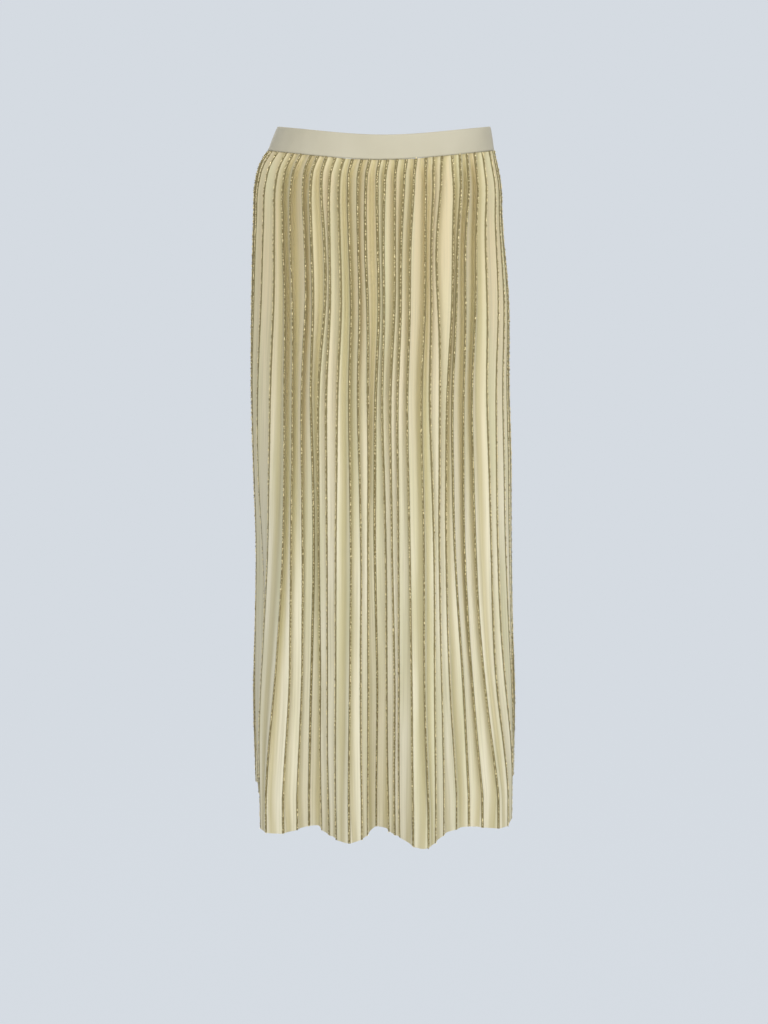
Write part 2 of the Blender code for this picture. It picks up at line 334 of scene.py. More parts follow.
def spread_between(tree, value, start, end, most=1.0, kind="LINEAR"):
    """A value's share of the way from start to end, up to most."""
    spread = tree.nodes.new("ShaderNodeMapRange")
    spread.interpolation_type = kind
    spread.inputs["From Min"].default_value = start
    spread.inputs["From Max"].default_value = end
    spread.inputs["To Max"].default_value = most
    tree.links.new(value, spread.inputs["Value"])
    return spread.outputs["Result"]


def soft_noise(tree, place, scales, low, high, most):
    """Noise as a share from 0 to most; scales are its patches per metre on each axis."""
    drawn = tree.nodes.new("ShaderNodeVectorMath")
    drawn.operation = "MULTIPLY"
    drawn.inputs[1].default_value = scales
    tree.links.new(place, drawn.inputs[0])
    noise = tree.nodes.new("ShaderNodeTexNoise")
    noise.inputs["Scale"].default_value = 1.0
    noise.inputs["Detail"].default_value = 2.0
    tree.links.new(drawn.outputs["Vector"], noise.inputs["Vector"])
    return spread_between(tree, noise.outputs["Fac"], low, high, most)


BAND_CREAM = (0.56, 0.52, 0.395)
BAND_SHADE = (0.525, 0.485, 0.36)

band_material = bpy.data.materials.new("band_knit")
band_material.use_nodes = True
band_shader = band_material.node_tree.nodes["Principled BSDF"]
band_shader.inputs["Roughness"].default_value = 0.85
band_shader.inputs["Sheen Weight"].default_value = 0.15
knit_nodes(band_material, wale=1.3 * MM, course=1.0 * MM, depth=0.12 * MM)
band_tree = band_material.node_tree
band_place = object_place(band_tree)
band_patches = soft_noise(band_tree, band_place, scales=(14.0, 14.0, 14.0), low=0.35, high=0.65, most=1.0)
band_tone = colour_between(band_tree, band_patches, BAND_SHADE, BAND_CREAM)
band_tree.links.new(band_tone, band_shader.inputs["Base Color"])

waistband = add_piece("waistband_shell", band_mesh, band_material)
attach(waistband, "root")
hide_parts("waistband")

# ---------------------------------------------------------------------------
# Front and back panels: one length each of fine plain knit, pressed into narrow
# pleats that run from the waistband to the hem.  The pleats start tight under
# the band, lean to one side or the other, and open into soft waves at the hem.

# Outer edges of the front pleats: the turn of each one in degrees at six drops,
# and the side it leans to (1 towards +X, -1 towards -X).
PLEAT_DROPS = (19, 129, 291, 500, 717, 857)
Pleat = namedtuple("Pleat", "waist hip thigh knee calf hem lean")
FRONT_PLEATS = (
    Pleat(-76, -77, -79, -85, -88, -89, -1),
    Pleat(-69, -68, -69.5, -74, -70, -66, -1),
    Pleat(-61.5, -59, -59, -58.5, -56, -54.5, -1),
    Pleat(-56.5, -53, -50.5, -49, -49, -51, 1),
    Pleat(-51, -48.5, -46, -46, -45, -46, 1),
    Pleat(-44.5, -40.5, -41, -42, -42, -43, 1),
    Pleat(-40, -37, -36.5, -36.5, -39, -40, 1),
    Pleat(-34.5, -30, -32.5, -33.5, -31.5, -32, -1),
    Pleat(-29, -27.5, -28.5, -29, -27.5, -27.5, -1),
    Pleat(-23.5, -21.5, -22.5, -24, -23, -23.5, -1),
    Pleat(-18, -16, -16.5, -17, -17, -17.5, 1),
    Pleat(-12, -11, -12, -12.5, -12.5, -12, 1),
    Pleat(-7, -7, -7, -9.5, -9.5, -9.5, 1),
    Pleat(-0.5, 0, -2, -6, -4.5, -5, -1),
    Pleat(4.5, 3, 1.5, 2, 2.5, 2.5, -1),
    Pleat(10.5, 9.5, 6, 5, 6, 5.5, -1),
    Pleat(16.5, 13, 10, 8.5, 8.5, 8, -1),
    Pleat(22.5, 18, 15, 14, 14.5, 14.5, -1),
    Pleat(29, 26.5, 22, 20, 19.5, 21, -1),
    Pleat(34, 30, 26.5, 25, 24, 24.5, 1),
    Pleat(39, 33, 32, 28, 28, 29, 1),
    Pleat(45.5, 42, 36.5, 32, 33, 36.5, 1),
    Pleat(50.5, 44.5, 39, 36.5, 41, 44, -1),
    Pleat(55.5, 48.5, 44.5, 42, 46, 49, -1),
    Pleat(61, 55, 49, 47.5, 50.5, 54, -1),
    Pleat(67.5, 61.5, 57.5, 54.5, 54.5, 58.5, 1),
    Pleat(75, 70.5, 64.5, 58, 58.5, 64, 1),
)

# Pleats of the sides and back, and how many of them belong to the front panel at
# the right and at the left, as seen from the front.
REAR_PLEATS = 33
SIDE_PLEATS_RIGHT = 2
SIDE_PLEATS_LEFT = 1

# Their widths and leans come from slow waves that run from pleat to pleat.
Wave = namedtuple("Wave", "share pace start")
REAR_WIDTH_WAVES = (
    Wave(0.13, 2.1, 0.4),
    Wave(0.09, 5.3, 0.0),
)
REAR_LEAN_WAVE = Wave(1.0, 0.83, 0.4)
REAR_LEAN_FLOOR = -0.2

# How high the pleats stand, and how far they tuck under each other.
Stand = namedtuple("Stand", "drop height tuck")
STANDS = (
    Stand(15, 2.6, 0.15),
    Stand(26, 5.0, 0.35),
    Stand(45, 7.6, 0.6),
    Stand(95, 8.2, 0.7),
    Stand(300, 7.8, 0.7),
    Stand(600, 6.6, 0.62),
    Stand(780, 5.2, 0.52),
    Stand(870, 2.4, 0.3),
    Stand(905, 1.5, 0.15),
)

# A pleat narrower than this many times its height stands less high, and an inner
# edge goes no further under an outer one than this share of the narrower pleat.
LEAST_WIDTH = 1.3
MOST_UNDER = 0.2

CLOTH_WALL = 1.0
SEAM_GAP = 0.3

# A face of a pleat is a soft S from its outer to its inner edge: how far the
# cloth runs on round each edge before it turns, and where its points lie.
OUTER_ROUND = 1.9
INNER_ROUND = 4.2
FACE_SHARES = (0.0, 0.1, 0.26, 0.44, 0.62, 0.8, 0.92)

# Two outer edges that lean apart pull the inner edge between them up, and two
# that lean together press it a little deeper.
INNER_DEPTH_WAVES = (
    Ripple(0.12, 1.7, 0.012, 0.0),
    Ripple(0.08, 4.1, -0.021, 0.0),
)
SPREAD_DEPTH = 0.7
INNER_DEPTH = 1.22
PINCHED_DEPTH = 1.3


def read_round(stations, values, at):
    """Value of a closed line at distances round it, any number of times round."""
    length = stations[-1]
    looped = np.concatenate((values, values[:1]))
    at = np.mod(at, length)
    if looped.ndim == 1:
        return np.interp(at, stations, looped)
    return np.column_stack([np.interp(at, stations, looped[:, axis]) for axis in range(looped.shape[1])])


def wave_at(wave, count):
    """How far a wave has risen at a pleat of the sides or back."""
    return wave.share * np.sin(wave.pace * count + wave.start)


def rear_shares():
    """Where the pleats of the sides and back lie between the last front ones."""
    counts = np.arange(REAR_PLEATS + 1)
    widths = 1 + sum(wave_at(wave, counts) for wave in REAR_WIDTH_WAVES)
    ends = np.cumsum(widths)
    return ends[:-1] / ends[-1]


def pleat_stations(drop, turns, stations):
    """Distances round to the outer edge of every pleat, in order."""
    front_turns = [along(PLEAT_DROPS, pleat[:len(PLEAT_DROPS)], drop) for pleat in FRONT_PLEATS]
    front = np.interp(front_turns, turns, stations[:-1])
    rest = stations[-1] + front[0] - front[-1]
    return np.concatenate((front, front[-1] + rest * rear_shares()))


def pleat_leans():
    """The side each pleat leans to, in order, in runs of a few at the back."""
    rear_wave = wave_at(REAR_LEAN_WAVE, np.arange(REAR_PLEATS))
    rear = np.where(rear_wave > REAR_LEAN_FLOOR, 1, -1)
    return np.concatenate(([pleat.lean for pleat in FRONT_PLEATS], rear))


PLEATS = len(FRONT_PLEATS) + REAR_PLEATS

# Soft creases pressed into the broad faces: the pleat they follow, where across
# its face they lie, the drops between which they run, and how far they stand
# out (or sink in).
Crease = namedtuple("Crease", "pleat across start end height")
CREASES = (
    Crease(2, 0.45, 60, 420, -0.9),
    Crease(3, 0.3, 300, 905, 1.1),
    Crease(4, 0.6, 90, 520, -1.0),
    Crease(4, 0.35, 560, 905, 0.9),
    Crease(5, 0.5, 220, 760, 0.8),
    Crease(7, 0.4, 60, 350, 0.9),
    Crease(8, 0.65, 300, 905, -1.1),
    Crease(9, 0.5, 120, 905, 1.2),
    Crease(10, 0.35, 420, 905, -0.9),
    Crease(11, 0.6, 60, 300, 0.9),
    Crease(12, 0.55, 350, 800, 0.8),
    Crease(14, 0.4, 500, 905, -1.1),
    Crease(15, 0.6, 80, 420, 0.8),
    Crease(16, 0.35, 150, 700, 1.0),
    Crease(17, 0.5, 420, 905, -1.2),
    Crease(18, 0.4, 60, 380, 1.1),
    Crease(18, 0.62, 450, 905, 1.0),
    Crease(20, 0.55, 200, 600, -0.8),
    Crease(21, 0.45, 60, 460, 1.2),
    Crease(22, 0.6, 520, 905, 1.0),
    Crease(23, 0.4, 300, 905, -1.1),
    Crease(24, 0.55, 500, 905, 1.1),
    Crease(25, 0.4, 90, 500, -0.9),
    Crease(26, 0.55, 420, 905, 1.0),
)
CREASE_WIDTH = 0.13
CREASE_FADE = 70.0
CREASE_WANDER = 0.05
CREASE_WANDER_LENGTH = 61.0


def crease_push(pleat, drop, across):
    """How far the creases of a pleat move its broad face out at a drop.

    The pleats of the back take their creases from the front ones in turn.
    """
    push = np.zeros(len(across))
    for crease in CREASES:
        if crease.pleat != pleat % len(FRONT_PLEATS):
            continue
        come = ease((drop - crease.start) / CREASE_FADE)
        go = 1.0 if crease.end >= HEM_DROP else ease((crease.end - drop) / CREASE_FADE)
        wander = CREASE_WANDER * math.sin(drop / CREASE_WANDER_LENGTH + pleat)
        beside = (across - crease.across - wander) / CREASE_WIDTH
        push += crease.height * come * go * np.exp(-beside ** 2)
    return push


def face_curve(start, end, start_ahead, end_ahead):
    """One face of a pleat, from one edge to the next, as a soft S."""
    reach = np.linalg.norm(end - start)
    first = start + start_ahead * min(OUTER_ROUND, reach / 3)
    second = end - end_ahead * min(INNER_ROUND, reach / 3)
    share = np.array(FACE_SHARES)[:, None]
    rest = 1 - share
    near_start = rest ** 3 * start + 3 * rest ** 2 * share * first
    return near_start + 3 * rest * share ** 2 * second + share ** 3 * end


def pleated_ring(drop):
    """Points of the cloth's middle line at a drop, all the way round.

    Returns the points, pleat after pleat, and the height of each.
    """
    turns, points, outward, stations, heights = outline(drop)
    ridges = pleat_stations(drop, turns, stations)
    following = np.concatenate((ridges[1:], ridges[:1] + stations[-1]))
    leans = pleat_leans()
    height = along(column(STANDS, "drop"), column(STANDS, "height"), drop)
    tuck = along(column(STANDS, "drop"), column(STANDS, "tuck"), drop)
    lean_sum = leans + np.roll(leans, -1)
    inner_share = 0.5 - tuck / 2 * lean_sum
    gaps = following - ridges
    valleys = ridges + inner_share * gaps
    valleys = np.maximum(valleys, ridges - MOST_UNDER * np.minimum(gaps, np.roll(gaps, 1)))
    valleys = np.minimum(valleys, following + MOST_UNDER * np.minimum(gaps, np.roll(gaps, -1)))
    room = np.minimum(1.0, gaps / (LEAST_WIDTH * height))
    uneven = 1 + rippled(INNER_DEPTH_WAVES, np.arange(PLEATS), drop)
    spread = (leans < 0) & (np.roll(leans, -1) > 0)
    pinched = (leans > 0) & (np.roll(leans, -1) < 0)
    depth_share = np.where(spread, SPREAD_DEPTH, np.where(pinched, PINCHED_DEPTH, INNER_DEPTH))
    valley_depths = height / 2 * room * depth_share * uneven
    ridge_heights = height / 2 * np.minimum(room, np.roll(room, 1))

    ridge_points = read_round(stations, points, ridges)
    ridge_points += read_round(stations, outward, ridges) * ridge_heights[:, None]
    valley_points = read_round(stations, points, valleys)
    valley_points -= read_round(stations, outward, valleys) * valley_depths[:, None]
    next_ridges = np.roll(ridge_points, -1, 0)
    last_valleys = np.roll(valley_points, 1, 0)

    ridge_ahead = valley_points - last_valleys
    ridge_ahead /= np.linalg.norm(ridge_ahead, axis=1)[:, None]
    valley_ahead = next_ridges - ridge_points
    valley_ahead /= np.linalg.norm(valley_ahead, axis=1)[:, None]
    next_ahead = np.roll(ridge_ahead, -1, 0)

    lines = []
    levels = []
    for count in range(PLEATS):
        valley = valley_points[count]
        down_face = face_curve(ridge_points[count], valley, ridge_ahead[count], valley_ahead[count])
        up_face = face_curve(next_ridges[count], valley, -next_ahead[count], -valley_ahead[count])
        up_face = np.vstack((valley, up_face[:0:-1]))
        shares = np.array(FACE_SHARES)
        up_shares = np.concatenate(([1.0], shares[:0:-1]))
        broad_last = inner_share[count] < 0.5
        broad, across = (up_face, up_shares) if broad_last else (down_face, shares)
        normal = read_round(stations, outward, valleys[count:count + 1])[0]
        broad += normal * crease_push(count, drop, across)[:, None]
        lines.append(np.vstack((down_face, up_face)))
        steps_down = ridges[count] + (valleys[count] - ridges[count]) * shares
        steps_up = following[count] + (valleys[count] - following[count]) * up_shares
        levels.append(read_round(stations, heights, np.concatenate((steps_down, steps_up))))
    return np.vstack(lines), np.concatenate(levels)


FACE_POINTS = len(FACE_SHARES)
PLEAT_POINTS = 2 * FACE_POINTS
PANEL_RINGS = 107
RING_CROWDING = 0.28
FIRST_DROP = BAND_FOOT + SEAM_GAP

# The UV map gives each pleat this width of cloth, and an edge that turns more
# than this many degrees is a cut one.
PLEAT_CLOTH = 27.0
CUT_EDGE_TURN = 70.0


def ring_drops():
    """Drops of the rings, closer together under the waistband."""
    shares = np.linspace(0, 1, PANEL_RINGS)
    crowded = (1 - RING_CROWDING) * shares + RING_CROWDING * shares ** 2
    return FIRST_DROP + (HEM_DROP - FIRST_DROP) * crowded


rings = []
for drop in ring_drops():
    line, levels = pleated_ring(drop)
    rings.append((drop, line, closed_normals(line), levels))


def edge_distances(line):
    """Distance along the cloth from every point to the outer edge of its face.

    It is less than nothing on a face that comes before its edge.
    """
    steps = np.linalg.norm(np.roll(line, -1, 0) - line, axis=1).reshape(PLEATS, PLEAT_POINTS)
    walked = np.cumsum(steps, axis=1) - steps
    after_edge = np.arange(PLEAT_POINTS) < FACE_POINTS
    return np.where(after_edge, walked, walked - steps.sum(axis=1)[:, None]).ravel()


def pleated_panel(name, first_pleat, last_pleat):
    """One panel, from the inner edge after one pleat to the one after another."""
    total = PLEATS * PLEAT_POINTS
    start = first_pleat * PLEAT_POINTS + FACE_POINTS
    end = last_pleat * PLEAT_POINTS + FACE_POINTS
    if end < start:
        end += total
    counted = np.arange(start, end + 1)
    picked = counted % total
    width = len(picked)
    edge_places = (counted + PLEAT_POINTS - FACE_POINTS) // PLEAT_POINTS * PLEAT_CLOTH
    points = []
    edges = []
    across = []
    down = []
    for drop, line, normals, levels in rings:
        distances = edge_distances(line)[picked]
        middle = line[picked].copy()
        # The cloth stops half the seam's gap short of the seam at both ends.
        for end_index, beside in ((0, 1), (-1, -2)):
            inward = middle[beside] - middle[end_index]
            middle[end_index] += inward / np.linalg.norm(inward) * SEAM_GAP / 2
        for side in (1, -1):
            moved = middle + normals[picked] * side * CLOTH_WALL / 2
            points.append(np.column_stack((moved, levels[picked])))
            edges.append(np.abs(distances))
            across.append(edge_places + distances)
            down.append(np.full(width, drop))
    points = np.vstack(points) * MM

    def at(ring, side, index):
        return (2 * ring + side) * width + index

    faces = []
    last_ring = len(rings) - 1
    for ring in range(last_ring):
        for index in range(width - 1):
            faces.append((at(ring, 0, index), at(ring + 1, 0, index),
                          at(ring + 1, 0, index + 1), at(ring, 0, index + 1)))
            faces.append((at(ring, 1, index + 1), at(ring + 1, 1, index + 1),
                          at(ring + 1, 1, index), at(ring, 1, index)))
        for index in (0, width - 1):
            faces.append((at(ring, 0, index), at(ring + 1, 0, index),
                          at(ring + 1, 1, index), at(ring, 1, index)))
    for ring in (0, last_ring):
        for index in range(width - 1):
            faces.append((at(ring, 0, index), at(ring, 1, index),
                          at(ring, 1, index + 1), at(ring, 0, index + 1)))
    mesh = bpy.data.meshes.new(name)
    mesh.from_pydata(points.tolist(), [], faces)
    mesh.validate()
    mesh.shade_smooth()
    mesh.set_sharp_from_angle(angle=math.radians(CUT_EDGE_TURN))
    write_uv(mesh, np.concatenate(across) * MM, np.concatenate(down) * MM)
    edge = mesh.attributes.new("edge_distance", "FLOAT", "POINT")
    edge.data.foreach_set("value", (np.concatenate(edges) * MM).astype(np.float32))
    # How far into its fold each point lies; the material paints shade from it.
    shares = np.array(FACE_SHARES)
    fold_shares = np.tile(np.concatenate((shares, [1.0], shares[:0:-1])), PLEATS)[picked]
    into_fold = mesh.attributes.new("into_fold", "FLOAT", "POINT")
    into_fold.data.foreach_set("value", np.tile(fold_shares, 2 * len(rings)).astype(np.float32))
    return mesh


CREAM = (0.82, 0.765, 0.575)
TAN = (0.71, 0.605, 0.38)
OLIVE = (0.66, 0.62, 0.39)
STREAK = (0.53, 0.475, 0.30)
# Painted shade for the inside of the folds.
PAINTED_FOLD_SHADE = (0.50, 0.43, 0.21)
# The yarn's bronze, also used as painted shade beside each outer edge.
YARN_AND_PAINTED_SHADE = (0.24, 0.20, 0.09)
TAN_LEVEL = -80 * MM
CREAM_LEVEL = -590 * MM

# The dark stripe along each outer edge, the yarn's own bronze widened with
# painted shade beside the edge: its half width, how much narrower it gets lower
# down, how far its border frays, and how softly it ends.
YARN_HALF_WIDTH = 1.8 * MM
YARN_NARROWS = 0.4 * MM
YARN_FRAY = 1.4 * MM
YARN_BLUR = 0.5 * MM

pleat_material = bpy.data.materials.new("pleat_knit")
pleat_material.use_nodes = True
pleat_tree = pleat_material.node_tree
pleat_shader = pleat_tree.nodes["Principled BSDF"]
pleat_shader.inputs["Roughness"].default_value = 0.78
pleat_shader.inputs["Specular IOR Level"].default_value = 0.3
pleat_shader.inputs["Sheen Weight"].default_value = 0.1
pleat_shader.inputs["Sheen Tint"].default_value = (1.0, 0.93, 0.76, 1.0)
knit_nodes(pleat_material, wale=1.2 * MM, course=0.9 * MM, depth=0.1 * MM)

# Tan under the band and cream lower down, with patches that drift to olive,
# faint upright streaks of the knit, and painted shade down inside the folds.
pleat_place = object_place(pleat_tree)
place_parts = pleat_tree.nodes.new("ShaderNodeSeparateXYZ")
pleat_tree.links.new(pleat_place, place_parts.inputs["Vector"])
lower = spread_between(pleat_tree, place_parts.outputs["Z"], TAN_LEVEL, CREAM_LEVEL, kind="SMOOTHSTEP")
cloth_tone = colour_between(pleat_tree, lower, TAN, CREAM)
drift = soft_noise(pleat_tree, pleat_place, scales=(42.0, 42.0, 3.0), low=0.42, high=0.66, most=0.8)
cloth_tone = colour_between(pleat_tree, drift, cloth_tone, OLIVE)
cloth_map = pleat_tree.nodes.new("ShaderNodeUVMap")
cloth_map.uv_map = "cloth"
streaks = soft_noise(pleat_tree, cloth_map.outputs["UV"], scales=(330.0, 6.0, 1.0),
                     low=0.45, high=0.75, most=0.55)
cloth_tone = colour_between(pleat_tree, streaks, cloth_tone, STREAK)
# Painted shade: the cloth darkens towards the inner edge of each fold, where the next pleat overhangs it.
fold_value = pleat_tree.nodes.new("ShaderNodeAttribute")
fold_value.attribute_name = "into_fold"
painted_fold_shade = spread_between(pleat_tree, fold_value.outputs["Fac"], start=0.4, end=0.85,
                         most=0.6, kind="SMOOTHSTEP")
cloth_tone = colour_between(pleat_tree, painted_fold_shade, cloth_tone, PAINTED_FOLD_SHADE)

# The stripe along an outer edge, yarn tone and painted shade, is ragged, and
# narrower lower down.
edge_value = pleat_tree.nodes.new("ShaderNodeAttribute")
edge_value.attribute_name = "edge_distance"
ragged = soft_noise(pleat_tree, pleat_place, scales=(520.0, 520.0, 520.0), low=0.0, high=1.0,
                    most=YARN_FRAY)
ragged_edge = math_node(pleat_tree, "ADD", ragged, edge_value.outputs["Fac"])
narrowed_edge = math_node(pleat_tree, "MULTIPLY_ADD", lower, YARN_NARROWS, ragged_edge)
stripe_edge = YARN_HALF_WIDTH + YARN_FRAY / 2
in_yarn_and_shade = spread_between(pleat_tree, narrowed_edge, stripe_edge + YARN_BLUR, stripe_edge)
whole_tone = colour_between(pleat_tree, in_yarn_and_shade, cloth_tone, YARN_AND_PAINTED_SHADE)
pleat_tree.links.new(whole_tone, pleat_shader.inputs["Base Color"])

right_seam = len(FRONT_PLEATS) + SIDE_PLEATS_RIGHT - 1
left_seam = PLEATS - SIDE_PLEATS_LEFT - 1
for panel_name, first_pleat, last_pleat in (("front_panel", left_seam, right_seam),
                                            ("back_panel", right_seam, left_seam)):
    panel_mesh = pleated_panel(panel_name + "_cloth", first_pleat, last_pleat)
    panel = add_piece(panel_name + "_cloth", panel_mesh, pleat_material)
    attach(panel, "root")
    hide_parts(panel_name)

# ---------------------------------------------------------------------------
# Metallic yarn: each pleat's outer edge is knitted with a flat gold-bronze
# yarn, whose short floats lie unevenly along the edge; some floats are painted
# bright gold as glints, and all of them shine as metal.

# Floats lie this far apart along an edge, and this far out from the cloth.
YARN_PITCH = 1.7
YARN_OUT = 0.3
FLOAT_HALF_LENGTH = 1.0
FLOAT_HALF_WIDTH = 0.78
FLOAT_HALF_DEPTH = 0.42

# Each float is moved, tilted and sized a little differently: how far it wanders
# and the shares of that on each axis, its tilt in radians, and its least and
# greatest size.
YARN_WANDER = 0.4
WANDER_SHARES = (1, 1, 2)
YARN_TILT = 0.45
FLOAT_SIZES = (0.7, 1.25)
WANDER_SEED = 11
TILT_SEED = 23
SIZE_SEED = 37
GLINT_SEED = 51

# Of the floats, those under the first share are the yarn's bronze and those over
# the second are painted bright gold as glints, with tones between.
BRONZE = (0.30, 0.235, 0.09)
PAINTED_GLINT_GOLD = (1.0, 0.87, 0.51)
BRONZE_SHARE = 0.2
PAINTED_GLINT_SHARE = 0.44

yarn_material = bpy.data.materials.new("metallic_yarn")
yarn_material.use_nodes = True
yarn_tree = yarn_material.node_tree
yarn_shader = yarn_tree.nodes["Principled BSDF"]
yarn_shader.inputs["Metallic"].default_value = 0.4
yarn_shader.inputs["Roughness"].default_value = 0.45
# Painted highlight: a random share of the floats gets a bright gold base colour so that they show as
# glints.
painted_glint = yarn_tree.nodes.new("ShaderNodeAttribute")
painted_glint.attribute_name = "painted_glint"
glint_ramp = yarn_tree.nodes.new("ShaderNodeValToRGB")
bronze_end, painted_glint_end = glint_ramp.color_ramp.elements
bronze_end.position = BRONZE_SHARE
bronze_end.color = (*BRONZE, 1.0)
painted_glint_end.position = PAINTED_GLINT_SHARE
painted_glint_end.color = (*PAINTED_GLINT_GOLD, 1.0)
yarn_tree.links.new(painted_glint.outputs["Fac"], glint_ramp.inputs["Fac"])
yarn_tree.links.new(glint_ramp.outputs["Color"], yarn_shader.inputs["Base Color"])


def float_mesh():
    """One float of the yarn: a short flat grain along +Z, thickest in its middle."""
    length = FLOAT_HALF_LENGTH * MM
    width = FLOAT_HALF_WIDTH * MM
    depth = FLOAT_HALF_DEPTH * MM
    middle = [(width, 0, 0), (0, depth, 0), (-width, 0, 0), (0, -depth, 0)]
    foot = len(middle) + 1
    faces = []
    for corner in range(1, foot):
        following = corner % len(middle) + 1
        faces.append((0, corner, following))
        faces.append((foot, following, corner))
    mesh = bpy.data.meshes.new("yarn_float")
    mesh.from_pydata([(0, 0, length), *middle, (0, 0, -length)], [], faces)
    mesh.validate()
    float_object = bpy.data.objects.new("yarn_float", mesh)
    bpy.context.scene.collection.objects.link(float_object)
    return float_object


def yarn_tree_nodes(float_object):
    """Geometry nodes that lay floats along every edge line, each a little off."""
    tree = bpy.data.node_groups.new("lay_metallic_yarn", "GeometryNodeTree")
    interface = tree.interface
    interface.new_socket("Geometry", in_out="INPUT", socket_type="NodeSocketGeometry")
    for name, value in (("Pitch", YARN_PITCH * MM), ("Wander", YARN_WANDER * MM), ("Tilt", YARN_TILT)):
        socket = interface.new_socket(name, in_out="INPUT", socket_type="NodeSocketFloat")
        socket.default_value = value
    interface.new_socket("Geometry", in_out="OUTPUT", socket_type="NodeSocketGeometry")
    new = tree.nodes.new
    link = tree.links.new
    group_in = new("NodeGroupInput")
    group_out = new("NodeGroupOutput")

    to_curve = new("GeometryNodeMeshToCurve")
    link(group_in.outputs["Geometry"], to_curve.inputs["Mesh"])
    resample = new("GeometryNodeResampleCurve")
    resample.mode = "LENGTH"
    link(to_curve.outputs["Curve"], resample.inputs["Curve"])
    link(group_in.outputs["Pitch"], resample.inputs["Length"])

    wander = new("FunctionNodeRandomValue")
    wander.data_type = "FLOAT_VECTOR"
    wander.inputs[0].default_value = [-share for share in WANDER_SHARES]
    wander.inputs[1].default_value = WANDER_SHARES
    wander.inputs["Seed"].default_value = WANDER_SEED
    scaled = new("ShaderNodeVectorMath")
    scaled.operation = "SCALE"
    link(wander.outputs[0], scaled.inputs[0])
    link(group_in.outputs["Wander"], scaled.inputs["Scale"])
    moved = new("GeometryNodeSetPosition")
    link(resample.outputs["Curve"], moved.inputs["Geometry"])
    link(scaled.outputs["Vector"], moved.inputs["Offset"])

    tangent = new("GeometryNodeInputTangent")
    aligned = new("FunctionNodeAlignRotationToVector")
    aligned.axis = "Z"
    link(tangent.outputs["Tangent"], aligned.inputs["Vector"])
    tilt_back = math_node(tree, "MULTIPLY", group_in.outputs["Tilt"], -1)
    tilt_low = new("ShaderNodeCombineXYZ")
    tilt_high = new("ShaderNodeCombineXYZ")
    for axis in ("X", "Y"):
        link(tilt_back, tilt_low.inputs[axis])
        link(group_in.outputs["Tilt"], tilt_high.inputs[axis])
    tilt_low.inputs["Z"].default_value = -math.pi
    tilt_high.inputs["Z"].default_value = math.pi
    tilt = new("FunctionNodeRandomValue")
    tilt.data_type = "FLOAT_VECTOR"
    tilt.inputs["Seed"].default_value = TILT_SEED
    link(tilt_low.outputs["Vector"], tilt.inputs[0])
    link(tilt_high.outputs["Vector"], tilt.inputs[1])
    turned = new("FunctionNodeRotateRotation")
    turned.rotation_space = "LOCAL"
    link(aligned.outputs["Rotation"], turned.inputs["Rotation"])
    link(tilt.outputs[0], turned.inputs["Rotate By"])

    size = new("FunctionNodeRandomValue")
    size.data_type = "FLOAT"
    size.inputs[2].default_value, size.inputs[3].default_value = FLOAT_SIZES
    size.inputs["Seed"].default_value = SIZE_SEED
    grain = new("GeometryNodeObjectInfo")
    grain.inputs["Object"].default_value = float_object
    laid = new("GeometryNodeInstanceOnPoints")
    link(moved.outputs["Geometry"], laid.inputs["Points"])
    link(grain.outputs["Geometry"], laid.inputs["Instance"])
    link(turned.outputs["Rotation"], laid.inputs["Rotation"])
    link(size.outputs[1], laid.inputs["Scale"])

    # Each float's random share, which picks its bronze tone or its painted glint.
    shine = new("FunctionNodeRandomValue")
    shine.data_type = "FLOAT"
    shine.inputs["Seed"].default_value = GLINT_SEED
    stored = new("GeometryNodeStoreNamedAttribute")
    stored.data_type = "FLOAT"
    stored.domain = "INSTANCE"
    stored.inputs["Name"].default_value = "painted_glint"
    link(laid.outputs["Instances"], stored.inputs["Geometry"])
    link(shine.outputs[1], stored.inputs["Value"])
    realized = new("GeometryNodeRealizeInstances")
    link(stored.outputs["Geometry"], realized.inputs["Geometry"])
    dressed = new("GeometryNodeSetMaterial")
    dressed.inputs["Material"].default_value = yarn_material
    link(realized.outputs["Geometry"], dressed.inputs["Geometry"])
    link(dressed.outputs["Geometry"], group_out.inputs["Geometry"])
    return tree


def edge_lines(first_pleat, last_pleat):
    """Lines of points along the outer edges between two pleats."""
    if last_pleat < first_pleat:
        last_pleat += PLEATS
    points = []
    edges = []
    for pleat in range(first_pleat + 1, last_pleat + 1):
        index = (pleat % PLEATS) * PLEAT_POINTS
        for ring, (drop, line, normals, levels) in enumerate(rings):
            on_edge = line[index] + normals[index] * (CLOTH_WALL / 2 + YARN_OUT)
            if ring:
                edges.append((len(points) - 1, len(points)))
            points.append((on_edge[0] * MM, on_edge[1] * MM, levels[index] * MM))
    mesh = bpy.data.meshes.new("edge_lines")
    mesh.from_pydata(points, edges, [])
    lines_object = bpy.data.objects.new("edge_lines", mesh)
    bpy.context.scene.collection.objects.link(lines_object)
    return lines_object


def made_plain(dressed_object, name):
    """The result of an object's geometry nodes as a plain mesh of its own."""
    evaluated = dressed_object.evaluated_get(bpy.context.evaluated_depsgraph_get())
    mesh = bpy.data.meshes.new_from_object(evaluated)
    dressed_object.modifiers.clear()
    bpy.data.objects.remove(dressed_object, do_unlink=True)
    mesh.name = name
    piece = bpy.data.objects.new(name, mesh)
    bpy.context.scene.collection.objects.link(piece)
    return piece


yarn_float = float_mesh()
yarn_nodes = yarn_tree_nodes(yarn_float)
for yarn_name, first_pleat, last_pleat in (("front_metallic_yarn", left_seam, right_seam),
                                           ("back_metallic_yarn", right_seam, left_seam)):
    lines = edge_lines(first_pleat, last_pleat)
    layer = lines.modifiers.new("lay_metallic_yarn", "NODES")
    layer.node_group = yarn_nodes
    yarn = made_plain(lines, yarn_name)
    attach(yarn, "root")
bpy.data.objects.remove(yarn_float, do_unlink=True)

